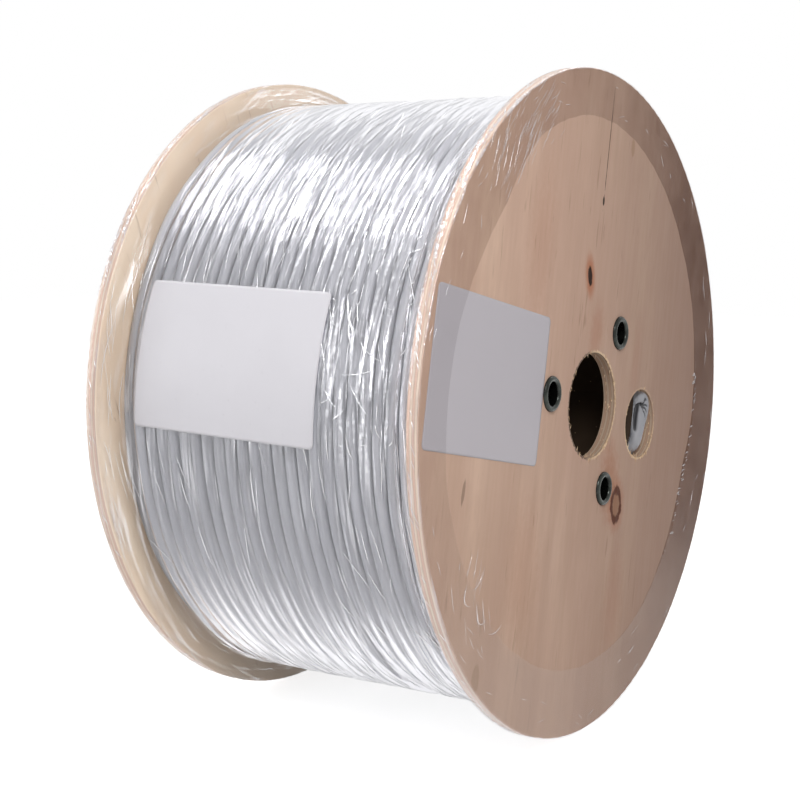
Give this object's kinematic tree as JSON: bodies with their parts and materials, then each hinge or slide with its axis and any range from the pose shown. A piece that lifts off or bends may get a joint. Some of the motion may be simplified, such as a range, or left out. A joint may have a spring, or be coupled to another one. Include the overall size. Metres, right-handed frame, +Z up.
{
  "type": "wooden cable drum",
  "caption": "Plywood drum wound full with grey network cable under stretch film, with an arbor hole, a lead-out hole, tie tubes and bare paper labels.",
  "frame": {"origin": "on the floor, under the middle of the drum", "axes": "+X along the drum's axis towards the flange with the lead-out hole, +Z up"},
  "size_m": [0.2278, 0.401, 0.401],
  "materials": {
    "plywood": "sanded, unpainted plywood with a fine grain",
    "paperboard": "raw wound paperboard",
    "cable_sheath": "grey plastic sheath, satin",
    "tie_steel": "bare steel tube, slightly dull",
    "film": "clear glossy stretch film",
    "label_paper": "plain satin label paper"
  },
  "bodies": {
    "root": {"flange_right": "plywood", "flange_left": "plywood", "barrel": "paperboard", "winding": "cable_sheath", "cable_end": "cable_sheath", "tie_tube_1": "tie_steel", "tie_tube_2": "tie_steel", "tie_tube_3": "tie_steel", "stretch_film": "film", "label_flange": "label_paper", "label_cable": "label_paper"}
  },
  "joints": []
}
